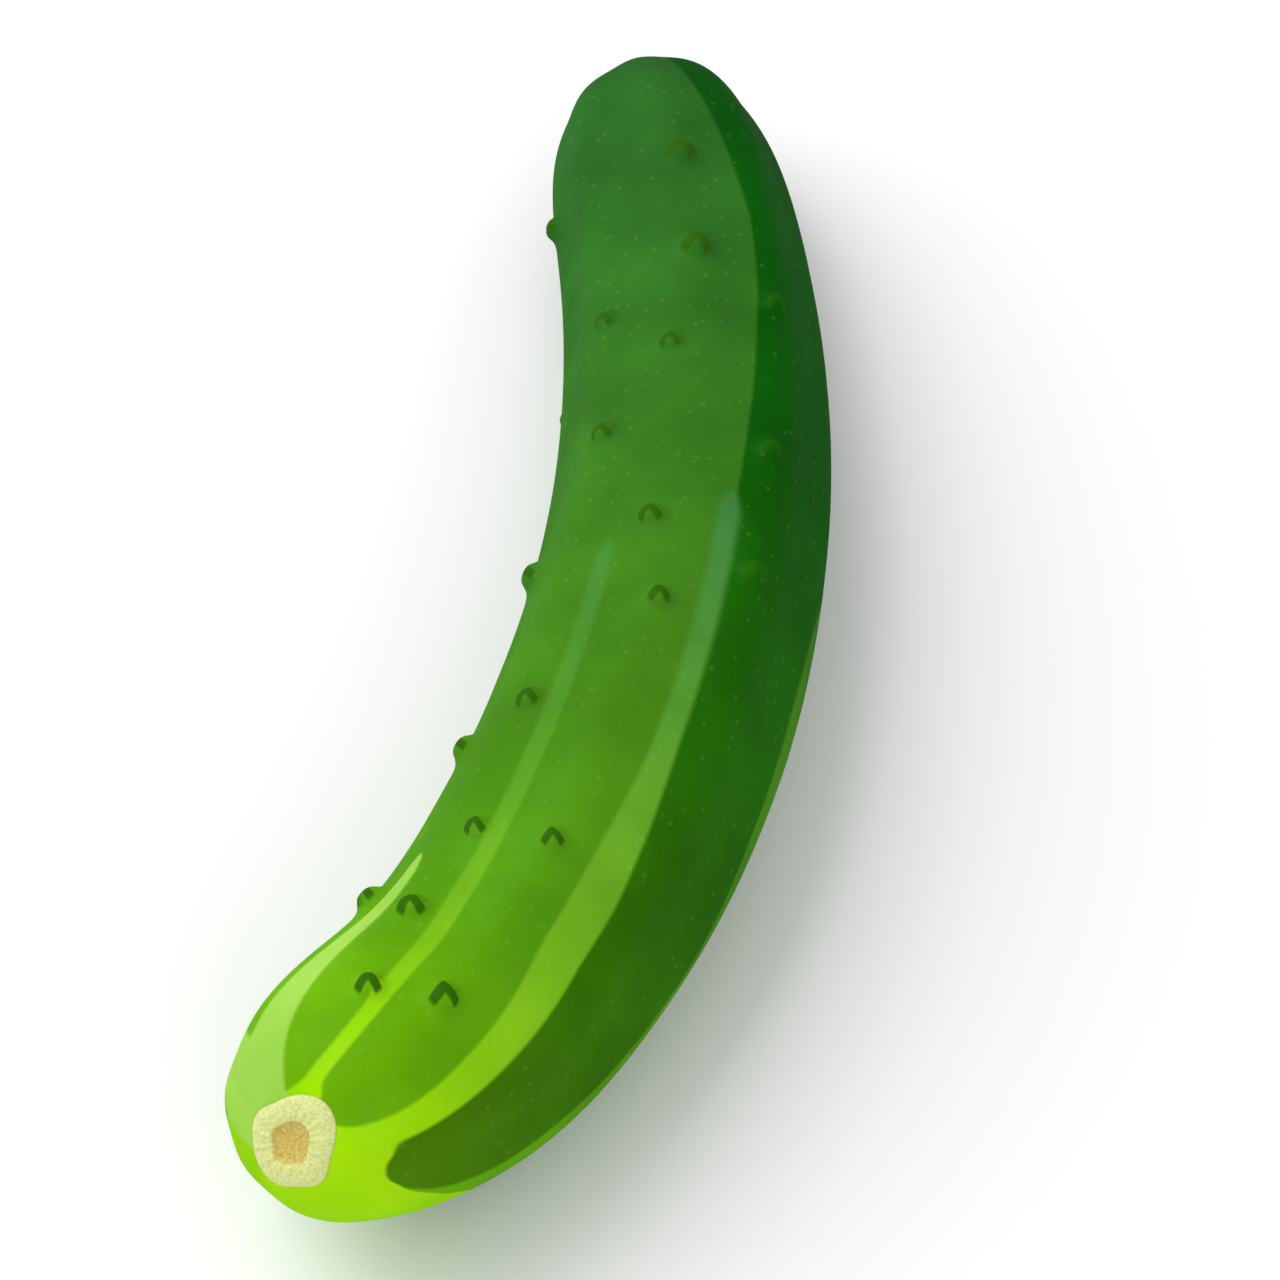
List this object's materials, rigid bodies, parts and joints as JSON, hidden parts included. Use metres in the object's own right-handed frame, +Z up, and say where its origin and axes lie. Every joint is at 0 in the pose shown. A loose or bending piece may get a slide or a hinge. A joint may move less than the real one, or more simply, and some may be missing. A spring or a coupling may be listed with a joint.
{
  "type": "cucumber",
  "caption": "Whole garden cucumber, picked and lying on its belly: bowed, warty skin with pale lengthwise stripes, a corky blossom scar and a small stem scar.",
  "frame": {"origin": "centre of the bounding box's foot, on the surface that the cucumber lies on", "axes": "+Y from the blossom end to the stem end, +Z up, +X towards the outside of the bow"},
  "size_m": [0.0624, 0.2164, 0.0448],
  "materials": {
    "skin": "satin",
    "scar": "matte",
    "spine": "matte"
  },
  "bodies": {
    "root": {"cucumber": "skin"}
  },
  "joints": []
}
